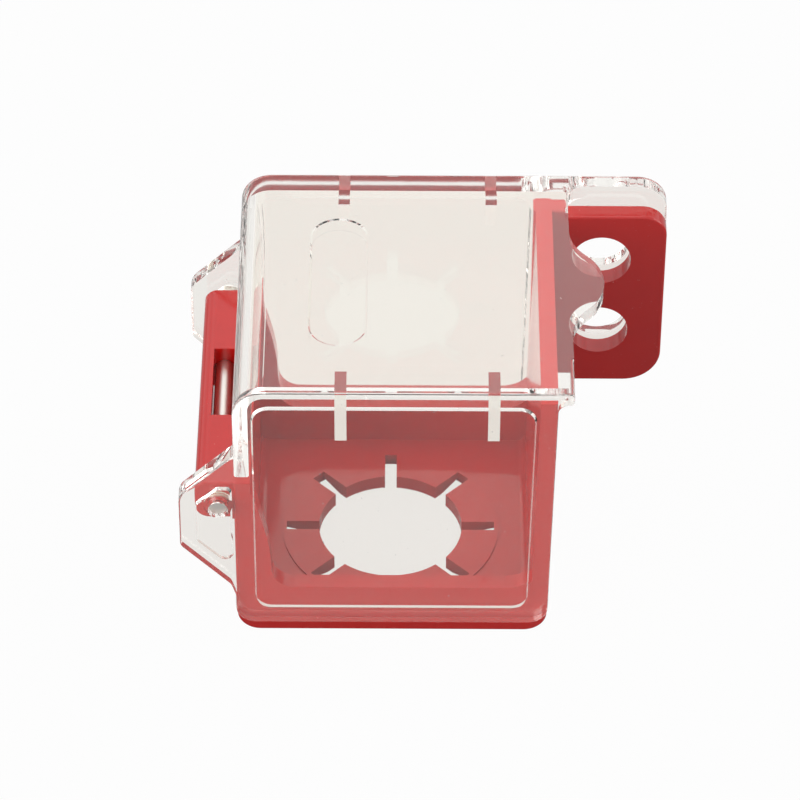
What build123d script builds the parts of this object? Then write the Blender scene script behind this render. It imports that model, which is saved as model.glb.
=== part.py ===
from build123d import *
import os

# Pushbutton lockout cover: a red ABS base that the button clamps to a panel, and a clear
# hinged cover that a padlock holds shut over the button.
#
# All sizes are in millimetres. While modelling, X runs from the cover's left face to the
# hasp, Y from the cover's front face to its back, and Z up from the panel. The finished
# pieces are then moved so that the origin lies on the button hole's axis at the underside.
# Outlines are lists of (across, up, corner radius).

# Cover, overall
cover_w = 49.0
cover_d = 52.2
cover_h = 53.2
cover_foot = 4.7
foot_x = -0.2
plate_t = 2.8
top_t = 2.4
side_t = 2.3
side_foot = 34.7
lip_w = 2.7
outer_r = 4.8
inner_r = 2.4
foot_r = 3.0
lip_fillet = 1.6
edge_r = 0.4
lip_r = 0.7

# The right-hand edges lean outwards: this much out at the top and in at the foot
lean = 0.33

# Thumb tab on the lip of the cover, and the web where the lip meets the hasp plate
web_r = 3.0
thumb_reach = 5.15
thumb_r = 9.0
thumb_runout_r = 8.1

# Hinge ears on the cover's plates
ear_outline = (
    (-0.2, 10.6, 2.0),
    (-0.9, 12.9, 2.0),
    (-8.6, 21.3, 1.6),
    (-8.6, 31.8, 3.2),
    (0.0, 40.3, 1.0),
)

# Panels sunk into the inner faces of the plates, and the faint pocket on the top
panel_depth = 1.0
panel_draft = 15.0
panel_left = 2.8
panel_right = 45.85
panel_bottom = 6.75
panel_top = 49.3
panel_r = 2.7
ear_panel_outline = (
    (-6.15, 21.3, 0.8),
    (-6.15, 29.3, 0.7),
    (-2.7, 32.65, 0.8),
    (-0.42, 32.65, 0.9),
    (-0.42, 17.4, 1.1),
    (-2.4, 17.4, 0.9),
)
hasp_panel_left = 53.1
hasp_panel_margin = 2.6
mark_x = 15.8
mark_w = 8.5
mark_l = 29.6
mark_slope = 60.0
mark_depth = 0.15

# Stiffening gussets between the cover's top and its plates
gusset_w = 1.8
gusset_xs = (16.4, 39.65)
gusset_along = 3.6
gusset_down = 7.9

# Hinge
hinge_x = -2.55
hinge_z = 29.0
pin_r = 1.5
pin_inset = 0.85
block_gap = 0.05
ear_gap = 0.08
boss_r = 2.25
block_left = 3.65
block_half_h = 3.95
block_r = 2.2
block_front = 3.45
block_back = 47.6
window_left = -4.15
window_right = -0.3
window_front = 17.5
window_back = 33.1

# Base tub
fit_gap = 0.35
floor_t = 2.15
front_wall_h = 10.3
back_wall_h = 9.7
end_wall_t = 2.8
base_left = -0.15
left_wall_t = 2.6
right_wall_t = 2.65
wall_top = 49.7
cove_r = 1.3
base_corner_r = 3.6

# Top edge of the end walls: where it leaves the left wall, sweeps down, and up to the right
sweep_drop = 2.0
sweep_start_slope = (0.25, -1.0)
sweep_points = ((4.4, 23.0), (5.3, 16.0))
sweep_low_x = 6.2
sweep_low_up = 1.4
sweep_end_x = 8.9
cusp_run = 4.8
cusp_up = 2.6
cusp_slope = (0.6, 0.8)

# Button hole with its ring of flexing petals, thinned underneath at their roots
bore_x = 23.9
bore_y = 25.4
bore_r = 11.55
ring_r = 17.5
ring_lift = 0.3
slot_count = 8
straight_slot_w = 1.9
diagonal_slot_w = 2.4
slot_end_r = 16.8
root_start_r = 13.0
root_end_r = 17.2
root_rise = 1.2

# Hasp: the base's tab and the cover's plate behind it share two padlock holes
tab_t = 3.1
tab_reach = 67.7
tab_bottom = 15.15
tab_top_r = 4.0
tab_bottom_r = 6.0
shackle_x = 57.4
shackle_zs = (40.75, 26.05)
shackle_r = 4.75
hasp_foot = 16.5
hasp_corner_r = 2.0
hasp_r = 4.8

# Sizes that follow from the ones above
top_under = cover_h - top_t
back_plate_y = cover_d - plate_t
base_front = plate_t + fit_gap
base_back = back_plate_y - fit_gap
right_wall_x = cover_w - right_wall_t
block_top = hinge_z + block_half_h
block_foot = hinge_z - block_half_h
lip_x = cover_w + lip_w
overshoot = 1.0


def rounded_face(corners):
    """A flat outline from (x, y, radius) corners, given in order round it."""
    outline = make_face(Polyline(*[(x, y) for x, y, _ in corners], close=True))
    for x, y, radius in corners:
        if radius > 0:
            corner = outline.vertices().sort_by_distance(Vector(x, y, 0))[0]
            outline = fillet(corner, radius)
    return outline


def upright(outline, y_front, thickness):
    """Stand an outline drawn in X and Z at y_front and thicken it towards the back."""
    return Pos(0, y_front, 0) * extrude(Plane.XZ * outline, amount=-thickness)


def bar(x_range, y_range, z_range):
    """A plain block between three pairs of limits."""
    low = Vector(x_range[0], y_range[0], z_range[0])
    high = Vector(x_range[1], y_range[1], z_range[1])
    size = high - low
    return Pos(*((low + high) * 0.5)) * Box(size.X, size.Y, size.Z)


def rod_along_y(radius, x, z, y_front, y_back):
    """A round bar parallel to the hinge."""
    length = y_back - y_front
    return Pos(x, y_front + length / 2, z) * Rot(90, 0, 0) * Cylinder(radius, length)


# Clear cover


def plate_outline(right_side):
    """Outline of the front or back plate, going round from its left foot."""
    foot = [(foot_x, cover_foot, foot_r)]
    left_side = foot + list(ear_outline) + [(0.0, cover_h, outer_r)]
    return rounded_face(left_side + right_side)


def soften(solid, y_faces):
    """Round the rims of the faces that look along Y at the given places."""
    for y in y_faces:
        solid = fillet(solid.edges().filter_by_position(Axis.Y, y, y), edge_r)
    return solid


def front_plate():
    right_side = [
        (lip_x, cover_h, lip_r),
        (lip_x, top_under, lip_r),
        (cover_w + lean, top_under, lip_fillet),
        (cover_w - lean, cover_foot, foot_r),
    ]
    return upright(plate_outline(right_side), 0.0, plate_t)


def back_plate():
    right_side = [
        (tab_reach, cover_h, hasp_r),
        (tab_reach, hasp_foot, tab_bottom_r),
        (cover_w - lean, hasp_foot, hasp_corner_r),
        (cover_w - lean, cover_foot, foot_r),
    ]
    return upright(plate_outline(right_side), back_plate_y, plate_t)


def top_and_side():
    """The top and the short left wall, bent round the left edge in one profile."""
    profile = [
        (0.0, side_foot, edge_r),
        (0.0, cover_h, outer_r),
        (lip_x, cover_h, lip_r),
        (lip_x, top_under, lip_r),
        (side_t, top_under, inner_r),
        (side_t, side_foot, edge_r),
    ]
    return upright(rounded_face(profile), 0.0, cover_d)


def thumb_tab():
    """The rounded bulge of the lip that a thumb lifts, with its hollow run-outs."""
    strip = Pos(lip_x - thumb_r / 2, cover_d / 2) * Rectangle(thumb_r, 4 * thumb_r)
    bulge = Pos(lip_x + thumb_reach - thumb_r, cover_d / 2) * Circle(thumb_r)
    outline = strip + bulge
    half_chord = (thumb_r**2 - (thumb_r - thumb_reach) ** 2) ** 0.5
    for side in (-1, 1):
        meeting = Vector(lip_x, cover_d / 2 + side * half_chord, 0)
        corner = outline.vertices().sort_by_distance(meeting)[0]
        outline = fillet(corner, thumb_runout_r)
    return Pos(0, 0, top_under) * extrude(outline, amount=top_t)


def lip_web():
    """The hollow corner that joins the lip to the hasp plate, seen from above."""
    square = Pos(lip_x + web_r / 2, back_plate_y - web_r / 2) * Rectangle(web_r, web_r)
    hollow = Pos(lip_x + web_r, back_plate_y - web_r) * Circle(web_r)
    return Pos(0, 0, top_under) * extrude(square - hollow, amount=top_t)


def gussets():
    """Four small webs under the top, two on each plate, rooted in its sunk panel."""
    root = -panel_depth
    corners = ((root, 0), (gusset_along, 0), (root, -gusset_down))
    web = make_face(Polyline(*corners, close=True))
    solid = extrude(Plane.YZ * web, amount=gusset_w / 2, both=True)
    webs = []
    for x in gusset_xs:
        webs.append(Pos(x, plate_t, top_under) * solid)
        webs.append(Pos(x, back_plate_y, top_under) * Rot(0, 0, 180) * solid)
    return webs


def main_panel():
    """Outline of the large sunk panel in a plate."""
    return rounded_face(
        [
            (panel_left, panel_bottom, panel_r),
            (panel_left, panel_top, panel_r),
            (panel_right + lean, panel_top, panel_r),
            (panel_right - lean, panel_bottom, panel_r),
        ]
    )


def hasp_panel():
    """Outline of the sunk panel in the cover's hasp plate."""
    left = hasp_panel_left
    right = tab_reach - hasp_panel_margin
    foot = hasp_foot + hasp_panel_margin
    return rounded_face(
        [
            (left, foot, panel_r),
            (left, panel_top, panel_r),
            (right, panel_top, panel_r),
            (right, foot, panel_r),
        ]
    )


def sunk(outline, y_face, towards_front):
    """A shallow cutter with sloping rims that enters a plate at y_face."""
    amount = panel_depth if towards_front else -panel_depth
    return Pos(0, y_face, 0) * extrude(Plane.XZ * outline, amount=amount, taper=panel_draft)


def sunk_panels():
    """Everything that is cut from the inner faces of the front and back plates."""
    ear_panel = rounded_face(ear_panel_outline)
    boss = rod_along_y(boss_r, hinge_x, hinge_z, 0.0, cover_d)
    return [
        sunk(main_panel(), plate_t, True),
        sunk(ear_panel, plate_t, True) - boss,
        sunk(main_panel(), back_plate_y, False),
        sunk(ear_panel, back_plate_y, False) - boss,
        sunk(hasp_panel(), back_plate_y, False),
    ]


def top_mark():
    """A very shallow long pocket on the top with a sloping rim, a place for a label."""
    floor = Rot(0, 0, 90) * SlotOverall(mark_l, mark_w)
    pocket = extrude(floor, amount=2 * mark_depth, taper=-mark_slope)
    return Pos(mark_x, cover_d / 2, cover_h - mark_depth) * pocket


def shackle_holes(y_front, y_back):
    """The two padlock holes, as rods to cut from a hasp plate."""
    return [rod_along_y(shackle_r, shackle_x, z, y_front, y_back) for z in shackle_zs]


def clear_cover():
    shell = top_and_side() + front_plate() + back_plate()
    shell = soften(shell, (0.0, cover_d)) + thumb_tab() + lip_web()
    for panel in sunk_panels():
        shell -= panel
    for web in gussets():
        shell += web
    shell -= top_mark()
    hinge_hole_r = pin_r + ear_gap
    shell -= rod_along_y(hinge_hole_r, hinge_x, hinge_z, -overshoot, cover_d + overshoot)
    for hole in shackle_holes(back_plate_y - overshoot, cover_d + overshoot):
        shell -= hole
    return shell


# Hinge pin


def hinge_pin():
    """Plain drawn pin through both ears and the base's block."""
    return rod_along_y(pin_r, hinge_x, hinge_z, pin_inset, cover_d - pin_inset)


# Red base


def tub_envelope():
    """The tub's outside as a solid block: rounded foot, leaning right face."""
    corners = [
        (base_left, 0.0, base_corner_r),
        (base_left, cover_h, 0),
        (cover_w + lean, cover_h, 0),
        (cover_w - lean, 0.0, base_corner_r),
    ]
    block = upright(rounded_face(corners), base_front, base_back - base_front)
    return soften(block, (base_front, base_back))


def end_wall(y_front, height):
    """A low end wall whose top edge sweeps up to both side walls."""
    left_top = block_top - sweep_drop
    inner_left = base_left + left_wall_t
    right = cover_w + overshoot
    cusp_x = right_wall_x + lean
    sweep_down = Spline(
        (inner_left, left_top),
        *sweep_points,
        (sweep_low_x, height + sweep_low_up),
        (sweep_end_x, height),
        tangents=(sweep_start_slope, (1, 0)),
    )
    sweep_up = Spline(
        (cusp_x - cusp_run, height),
        (cusp_x, height + cusp_up),
        tangents=((1, 0), cusp_slope),
    )
    edges = [
        sweep_down,
        Line((sweep_end_x, height), (cusp_x - cusp_run, height)),
        sweep_up,
        Line((cusp_x, height + cusp_up), (right, height + cusp_up)),
        Line((right, height + cusp_up), (right, 0)),
        Line((right, 0), (base_left, 0)),
        Line((base_left, 0), (base_left, left_top)),
        Line((base_left, left_top), (inner_left, left_top)),
    ]
    return upright(make_face(Wire(edges)), y_front, end_wall_t)


def side_walls():
    """The left wall under the hinge block and the tall right wall under the cover's top."""
    depth = base_back - base_front
    left_range = (base_left, base_left + left_wall_t)
    left = bar(left_range, (base_front, base_back), (0, block_top))
    corners = [
        (right_wall_x - lean, 0.0, 0),
        (right_wall_x + lean, wall_top, 0),
        (lip_x, wall_top, 0),
        (lip_x, 0.0, 0),
    ]
    return left + upright(rounded_face(corners), base_front, depth)


def wall_coves():
    """The hollow fillets between the floor and the side walls."""
    left_x = base_left + left_wall_t
    right_x = right_wall_x - lean
    coves = []
    for x, side in ((left_x, 1), (right_x, -1)):
        edge = x + side * cove_r
        limits = (min(x - side * lean, edge), max(x - side * lean, edge))
        cove = bar(limits, (base_front, base_back), (floor_t, floor_t + cove_r))
        coves.append(cove - rod_along_y(cove_r, edge, floor_t + cove_r, 0.0, cover_d))
    return coves


def hinge_block():
    """The long block outside the left wall that holds the pin, open at its window."""
    left = hinge_x - block_left
    right = base_left + left_wall_t / 2
    corners = [
        (left, block_foot, block_r),
        (left, block_top, block_r),
        (right, block_top, 0),
        (right, block_foot, 0),
    ]
    block = upright(rounded_face(corners), block_front, block_back - block_front)
    block = soften(block, (block_front, block_back))
    window_z = (block_foot - overshoot, block_top + overshoot)
    block -= bar((window_left, window_right), (window_front, window_back), window_z)
    return block


def hasp_tab():
    """The padlock tab at the back of the right wall."""
    corners = [
        (right_wall_x, tab_bottom, 0),
        (right_wall_x, wall_top, 0),
        (tab_reach, wall_top, tab_top_r),
        (tab_reach, tab_bottom, tab_bottom_r),
    ]
    tab = upright(rounded_face(corners), base_back - tab_t, tab_t)
    tab = soften(tab, (base_back - tab_t, base_back))
    for hole in shackle_holes(base_back - tab_t - overshoot, base_back + overshoot):
        tab -= hole
    return tab


def petal_ring():
    """A slightly raised disc round the button hole, before it is cut into petals."""
    return Pos(bore_x, bore_y, 0) * extrude(Circle(ring_r), amount=floor_t + ring_lift)


def petal_cuts():
    """The button hole, the slots that part the petals and the thinning under their roots."""
    height = floor_t + ring_lift + 2 * overshoot
    middle = height / 2 - overshoot
    cuts = [Pos(0, 0, middle) * Cylinder(bore_r, height)]
    for number in range(slot_count):
        width = diagonal_slot_w if number % 2 else straight_slot_w
        slot = Pos(slot_end_r / 2, 0, middle) * Box(slot_end_r, width, height)
        cuts.append(Rot(0, 0, 360 / slot_count * number) * slot)
    corners = ((root_start_r, 0), (root_end_r, root_rise), (root_end_r, 0))
    thinning = make_face(Polyline(*corners, close=True))
    cuts.append(revolve(Plane.XZ * thinning, Axis.Z))
    return [Pos(bore_x, bore_y, 0) * cut for cut in cuts]


def lockout_base():
    tub = side_walls() + end_wall(base_front, front_wall_h)
    tub += end_wall(base_back - end_wall_t, back_wall_h)
    tub += bar((base_left, lip_x), (base_front, base_back), (0, floor_t))
    for cove in wall_coves():
        tub += cove
    tub = tub & tub_envelope()
    tub += petal_ring() + hinge_block() + hasp_tab()
    for cut in petal_cuts():
        tub -= cut
    tub -= rod_along_y(pin_r + block_gap, hinge_x, hinge_z, 0.0, cover_d)
    return tub


def save(piece, name):
    """Move a piece so that the origin lies on the button hole's axis, and write it."""
    placed = Pos(-bore_x, -bore_y, 0) * piece
    export_step(placed, f"parts/{name}.step")


os.makedirs("parts", exist_ok=True)
save(lockout_base(), "lockout_base")
save(clear_cover(), "clear_cover")
save(hinge_pin(), "hinge_pin")
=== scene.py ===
# %% [markdown]
# # A pushbutton lockout cover, dressed for the camera
#
# The real object is three pieces. A glossy red ABS base is clamped under a machine's
# pushbutton. A clear polycarbonate cover swings over the button on a steel pin, and a padlock
# through the two plates at the back keeps it shut. The construction is already modelled at its
# real size, so this script keeps those shapes and gives them their finishes, a light and a camera.

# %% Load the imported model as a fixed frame
import math

import bpy
from mathutils import Matrix, Vector


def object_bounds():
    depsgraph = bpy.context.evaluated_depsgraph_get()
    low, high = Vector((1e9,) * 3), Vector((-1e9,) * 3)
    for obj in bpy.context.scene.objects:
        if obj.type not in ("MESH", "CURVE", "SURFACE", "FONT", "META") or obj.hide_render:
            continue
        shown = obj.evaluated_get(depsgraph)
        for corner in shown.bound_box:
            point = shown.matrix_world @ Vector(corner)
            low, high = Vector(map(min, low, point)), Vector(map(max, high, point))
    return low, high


MM = 0.001
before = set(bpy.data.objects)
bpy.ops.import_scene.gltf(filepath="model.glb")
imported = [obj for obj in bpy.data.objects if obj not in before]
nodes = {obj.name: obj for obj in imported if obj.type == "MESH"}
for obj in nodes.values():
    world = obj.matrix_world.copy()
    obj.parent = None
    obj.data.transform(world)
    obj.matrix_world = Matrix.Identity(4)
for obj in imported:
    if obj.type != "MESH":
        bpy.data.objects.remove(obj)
cad_box = [list(corner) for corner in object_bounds()]
print("pieces:", sorted(nodes))
print("box in mm:", [[round(value / MM, 1) for value in corner] for corner in cad_box])

# %% [markdown]
# ## Colours and nodes
#
# Plastics are easiest to match as the hex colours that a picture shows. Shaders want linear
# light, so one function turns each hex value round. A second function adds a node, sets its
# values and wires its inputs. The others are the few patterns that every material here uses:
# a noise of a given size in millimetres, a range turned into another range, and a blend.


# %% Helpers for every material
def linear(hex_colour):
    """An sRGB hex colour as linear red, green, blue and alpha."""
    channels = [int(hex_colour[i : i + 2], 16) / 255 for i in (1, 3, 5)]
    light = [c / 12.92 if c <= 0.04045 else ((c + 0.055) / 1.055) ** 2.4 for c in channels]
    return (*light, 1.0)


def add(tree, kind, settings=None, **inputs):
    """Add a node. Settings are its own fields; inputs are values or other nodes' outputs.

    An input is named as its socket, with _ for a space, or by its number: in0, in1.
    """
    node = tree.nodes.new(kind)
    for name, value in (settings or {}).items():
        setattr(node, name, value)
    for name, value in inputs.items():
        numbered = name.startswith("in") and name[2:].isdigit()
        socket = node.inputs[int(name[2:]) if numbered else name.replace("_", " ")]
        if isinstance(value, bpy.types.NodeSocket):
            tree.links.new(value, socket)
        else:
            socket.default_value = value
    return node


def noise(tree, place, size_mm, detail):
    """Smooth random values whose patches are about size_mm across."""
    pattern = add(
        tree, "ShaderNodeTexNoise", Vector=place, Scale=1 / (size_mm * MM), Detail=detail
    )
    return pattern.outputs["Fac"]


def remap(tree, value, before, after):
    """Turn the range before into the range after, and hold what lies outside it."""
    ranged = add(
        tree,
        "ShaderNodeMapRange",
        Value=value,
        From_Min=before[0],
        From_Max=before[1],
        To_Min=after[0],
        To_Max=after[1],
    )
    return ranged.outputs["Result"]


def times_plus(tree, value, factor, extra):
    """value * factor + extra."""
    sum_node = add(
        tree,
        "ShaderNodeMath",
        {"operation": "MULTIPLY_ADD"},
        in0=value,
        in1=factor,
        in2=extra,
    )
    return sum_node.outputs[0]


def blend(tree, share, first, second):
    """Two colours mixed by share: 0 is the first, 1 the second."""
    mix = add(
        tree,
        "ShaderNodeMix",
        {"data_type": "RGBA"},
        Factor=share,
        in6=first,
        in7=second,
    )
    return mix.outputs[2]


def new_material(name):
    """An empty material, its node tree, its output node and a place on the piece."""
    material = bpy.data.materials.new(name)
    material.use_nodes = True
    tree = material.node_tree
    tree.nodes.clear()
    output = tree.nodes.new("ShaderNodeOutputMaterial")
    place = add(tree, "ShaderNodeTexCoord").outputs["Object"]
    return material, tree, output, place


def dress(piece, material):
    """Give a CAD piece one material in place of its plain one."""
    piece.data.materials.clear()
    piece.data.materials.append(material)
    print(piece.name, "wears", material.name)


# %% [markdown]
# ## Red ABS
#
# ABS is an opaque, slightly waxy plastic that is injection moulded against polished steel. It has
# a saturated body colour and a clear reflection on top, with an index of refraction of about 1.54.
# The mould leaves a faint unevenness some millimetres across where the melt flowed together, and
# a pale dust settles where fingers and cloths don't reach. Both are too thin to model, so noise
# drives a very light bump, the roughness and the dust's colour.


# %% Dust and wear that gather in one place
def patch(tree, place, middle_mm, reach_mm):
    """How near a point is to a patch: 1 at its middle, 0 beyond its reach."""
    shifted = add(
        tree,
        "ShaderNodeMapping",
        {"vector_type": "POINT"},
        Vector=place,
        Location=[-m / r for m, r in zip(middle_mm, reach_mm)],
        Scale=[1 / (r * MM) for r in reach_mm],
    )
    away = add(tree, "ShaderNodeVectorMath", {"operation": "LENGTH"}, in0=shifted.outputs[0])
    return remap(tree, away.outputs["Value"], (0.0, 1.0), (1.0, 0.0))


# %% Moulded red ABS
red_tones = ("#C51A17", "#CC1E1B")
dust_tone = "#E9D9D4"
dusty_corner_mm = ((23.5, 0.0, 44.0), (3.0, 30.0, 12.0))
patch_pull = 0.16


def red_abs():
    material, tree, output, place = new_material("red_abs_polished_mould")
    flow = noise(tree, place, size_mm=7.0, detail=2.0)
    grain = noise(tree, place, size_mm=0.35, detail=1.0)
    specks = noise(tree, place, size_mm=0.45, detail=4.0)
    corner = patch(tree, place, *dusty_corner_mm)
    lifted = times_plus(tree, corner, patch_pull, specks)
    dust = remap(tree, lifted, (0.72, 0.80), (0.0, 0.45))
    tone = blend(tree, flow, linear(red_tones[0]), linear(red_tones[1]))
    grain_share = 0.25
    bump = add(
        tree,
        "ShaderNodeBump",
        Height=times_plus(tree, grain, grain_share, flow),
        Strength=0.06,
        Distance=0.3 * MM,
    )
    plastic = add(
        tree,
        "ShaderNodeBsdfPrincipled",
        Base_Color=blend(tree, dust, tone, linear(dust_tone)),
        Roughness=remap(tree, flow, (0.0, 1.0), (0.07, 0.15)),
        Normal=bump.outputs["Normal"],
        IOR=1.54,
    )
    tree.links.new(plastic.outputs[0], output.inputs["Surface"])
    return material


dress(nodes["lockout_base"], red_abs())

# %% [markdown]
# ## Clear polycarbonate
#
# Polycarbonate bends light a little more than window glass: its index is 1.585. A wall of it two
# or three millimetres thick looks faintly warm face on, and shows grey where one looks along it
# through an edge. The cover is a closed solid of real thickness, so a plain transmitting surface
# gives those edges by itself, if a ray may bounce inside it often enough. Lamps can't shine
# through a refracting surface in a path tracer without slow caustics, so shadow rays alone pass
# straight through it. Handling leaves specks of dust, which hide what is behind them, and a few
# hair scratches, which are long thin streaks of rougher surface.


# %% Moulded clear polycarbonate
clear_tint = "#FCFAF5"
shadow_tint = "#F6F5F1"
rubbed_place_mm = ((15.0, -24.4, 16.0), (9.0, 2.5, 9.0))
scratch_mm = (0.25, 9.0)
scratch_tilt_deg = -62


def clear_polycarbonate():
    material, tree, output, place = new_material("polycarbonate_clear_cover")
    haze = noise(tree, place, size_mm=9.0, detail=2.0)
    bump = add(tree, "ShaderNodeBump", Height=haze, Strength=0.03, Distance=0.1 * MM)
    specks = noise(tree, place, size_mm=0.5, detail=2.0)
    thin, long = (size * MM for size in scratch_mm)
    along = add(
        tree,
        "ShaderNodeMapping",
        {"vector_type": "TEXTURE"},
        Vector=place,
        Rotation=(0.0, math.radians(scratch_tilt_deg), 0.0),
        Scale=(thin, long, long),
    )
    hairs = add(tree, "ShaderNodeTexNoise", Vector=along.outputs[0], Scale=1.0, Detail=0.0)
    rubbed = patch(tree, place, *rubbed_place_mm)
    strokes = times_plus(tree, rubbed, patch_pull, hairs.outputs["Fac"])
    plastic = add(
        tree,
        "ShaderNodeBsdfPrincipled",
        Base_Color=linear(clear_tint),
        Roughness=remap(tree, strokes, (0.86, 0.96), (0.02, 0.12)),
        Normal=bump.outputs["Normal"],
        IOR=1.585,
        Transmission_Weight=remap(tree, specks, (0.74, 0.80), (1.0, 0.6)),
    )
    passing = add(tree, "ShaderNodeBsdfTransparent", Color=linear(shadow_tint))
    rays = add(tree, "ShaderNodeLightPath")
    surface = add(
        tree,
        "ShaderNodeMixShader",
        in0=rays.outputs["Is Shadow Ray"],
        in1=plastic.outputs[0],
        in2=passing.outputs[0],
    )
    tree.links.new(surface.outputs[0], output.inputs["Surface"])
    return material


dress(nodes["clear_cover"], clear_polycarbonate())

# %% Let light bounce far enough inside the clear edges
edge_bounces = 32
for limit in ("max_bounces", "glossy_bounces", "transmission_bounces"):
    setattr(bpy.context.scene.cycles, limit, edge_bounces)
print("bounces allowed:", edge_bounces)

# %% [markdown]
# ## Steel pin
#
# The hinge turns on a drawn steel wire, cut to length and polished. Drawing pulls fine lines
# along it, which the eye reads as a soft streak beside a sharp highlight. It is a metal, so it
# has no body colour under its reflection, and its lines are a noise stretched along the pin.


# %% Drawn and polished steel
steel_tone = "#E6E2DC"
drawn_line_mm = (0.3, 20.0)


def drawn_steel():
    material, tree, output, place = new_material("steel_drawn_and_polished")
    thin, long = (size * MM for size in drawn_line_mm)
    drawn = add(
        tree,
        "ShaderNodeMapping",
        {"vector_type": "TEXTURE"},
        Vector=place,
        Scale=(thin, long, thin),
    )
    pattern = add(tree, "ShaderNodeTexNoise", Vector=drawn.outputs[0], Scale=1.0, Detail=2.0)
    lines = pattern.outputs["Fac"]
    bump = add(tree, "ShaderNodeBump", Height=lines, Strength=0.05, Distance=0.05 * MM)
    steel = add(
        tree,
        "ShaderNodeBsdfPrincipled",
        Base_Color=linear(steel_tone),
        Metallic=1.0,
        Roughness=remap(tree, lines, (0.0, 1.0), (0.28, 0.42)),
        Normal=bump.outputs["Normal"],
    )
    tree.links.new(steel.outputs[0], output.inputs["Surface"])
    return material


dress(nodes["hinge_pin"], drawn_steel())

# %% [markdown]
# ## Floor, lamps and world
#
# Clear plastic is photographed softly on white, with light from both sides so that its walls
# stand out from each other. The floor is a white sheet that still takes the object's shadow.
# The camera sees it as nearly pure white, what is seen through the clear plastic is a little
# darker, and a gloss surface mirrors mostly the sheet itself, with the shadow on it.

# %% White floor
paper_tone = "#B4B4B4"
bright_share = {"Is Glossy Ray": 0.12, "Is Transmission Ray": 0.8, "Is Camera Ray": 0.97}


def white_floor():
    material, tree, output, _ = new_material("white_paper_sweep")
    paper = add(tree, "ShaderNodeBsdfDiffuse", Color=linear(paper_tone))
    glow = add(tree, "ShaderNodeEmission", Color=linear("#FFFFFF"), Strength=1.0)
    rays = add(tree, "ShaderNodeLightPath")
    share = 0.0
    for ray, part in bright_share.items():
        lit = add(
            tree, "ShaderNodeMath", {"operation": "MULTIPLY"}, in0=rays.outputs[ray], in1=part
        )
        larger = add(
            tree, "ShaderNodeMath", {"operation": "MAXIMUM"}, in0=share, in1=lit.outputs[0]
        )
        share = larger.outputs[0]
    surface = add(
        tree, "ShaderNodeMixShader", in0=share, in1=paper.outputs[0], in2=glow.outputs[0]
    )
    tree.links.new(surface.outputs[0], output.inputs["Surface"])
    return material


# The floor lies a hair under the object, so that the two never share one plane
floor_half = 3.0
floor_drop_mm = 0.02
floor_mesh = bpy.data.meshes.new("floor")
corners = [(x * floor_half, y * floor_half, 0) for x, y in ((-1, -1), (1, -1), (1, 1), (-1, 1))]
floor_mesh.from_pydata(corners, [], [(0, 1, 2, 3)])
floor = bpy.data.objects.new("floor", floor_mesh)
floor.location.z = -floor_drop_mm * MM
bpy.context.scene.collection.objects.link(floor)
floor_mesh.materials.append(white_floor())
print("floor in metres:", 2 * floor_half)

# %% Lamps
# Each has its place from the object's middle and its side, in metres, and its power in watts
lamps = {
    "overhead": ((0.0, 0.0, 1.0), 0.6, 1.4),
    "back_window": ((0.0, 0.8, 0.72), 1.2, 1.5),
    "left_window": ((-0.7, -0.6, 0.25), 0.8, 4.4),
    "right_fill": ((0.9, 0.1, 0.5), 0.7, 4.2),
    "high_left": ((-0.8, 0.1, 0.5), 0.7, 1.4),
}


def soft_lamp(name, place, aim, side, power):
    """A square lamp at place, turned towards aim."""
    lamp = bpy.data.lights.new(name, "AREA")
    lamp.shape = "SQUARE"
    lamp.size = side
    lamp.energy = power
    holder = bpy.data.objects.new(name, lamp)
    holder.location = place
    holder.rotation_euler = (aim - place).to_track_quat("-Z", "Y").to_euler()
    bpy.context.scene.collection.objects.link(holder)


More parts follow.
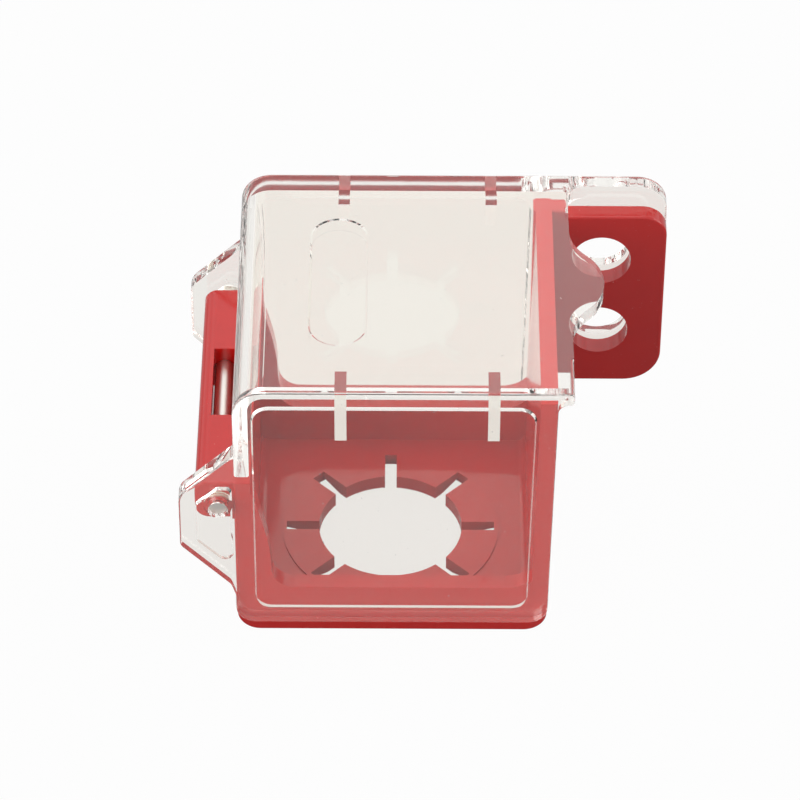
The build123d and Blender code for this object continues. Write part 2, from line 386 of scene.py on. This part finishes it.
middle = (Vector(cad_box[0]) + Vector(cad_box[1])) / 2
for name, (offset, side, power) in lamps.items():
    soft_lamp(name, middle + Vector(offset), middle, side, power)
print("lamps in watts:", {name: power for name, (_, _, power) in lamps.items()})

# %% World, brighter in mirrors than as a lamp
sky_as_lamp = 0.4
sky_seen = {"Is Transmission Ray": 0.45, "Is Glossy Ray": 1.0, "Is Camera Ray": 1.0}
world = bpy.data.worlds.new("studio")
bpy.context.scene.world = world
world.use_nodes = True
sky = world.node_tree
sky.nodes.clear()
rays = add(sky, "ShaderNodeLightPath")
light = add(sky, "ShaderNodeBackground", Color=linear("#FFFFFF"), Strength=sky_as_lamp)
for ray, strength in sky_seen.items():
    seen = add(sky, "ShaderNodeBackground", Color=linear("#FFFFFF"), Strength=strength)
    light = add(
        sky,
        "ShaderNodeMixShader",
        in0=rays.outputs[ray],
        in1=light.outputs[0],
        in2=seen.outputs[0],
    )
add(sky, "ShaderNodeOutputWorld", Surface=light.outputs[0])
print("sky as a lamp:", sky_as_lamp, "and as seen:", sky_seen)

# %% [markdown]
# ## Camera
#
# The picture was taken with a long lens from the front, about 42 degrees above the table. Its
# place was worked out from the object's own edges and circles, so it is given here in real
# millimetres, with its tilt and small roll in degrees.

# %% Long lens from above the front
image_px = 800
focal_px = 4319
sensor_mm = 36
camera_mm = (2.0, -506.1, 487.5)
down_deg = 42.17
turn_deg = -0.06
roll_deg = 0.22
nearest_m = 0.01

camera_data = bpy.data.cameras.new("camera")
camera_data.sensor_width = sensor_mm
camera_data.lens = focal_px / image_px * sensor_mm
camera_data.clip_start = nearest_m
camera = bpy.data.objects.new("camera", camera_data)
heading = Matrix.Rotation(math.radians(-turn_deg), 4, "Z")
tilt = Matrix.Rotation(math.radians(90 - down_deg), 4, "X")
roll = Matrix.Rotation(math.radians(roll_deg), 4, "Z")
camera.matrix_world = Matrix.Translation(Vector(camera_mm) * MM) @ heading @ tilt @ roll
bpy.context.scene.collection.objects.link(camera)
bpy.context.scene.camera = camera
bpy.context.scene.view_settings.view_transform = "Standard"
print("lens in mm:", round(camera_data.lens, 1))
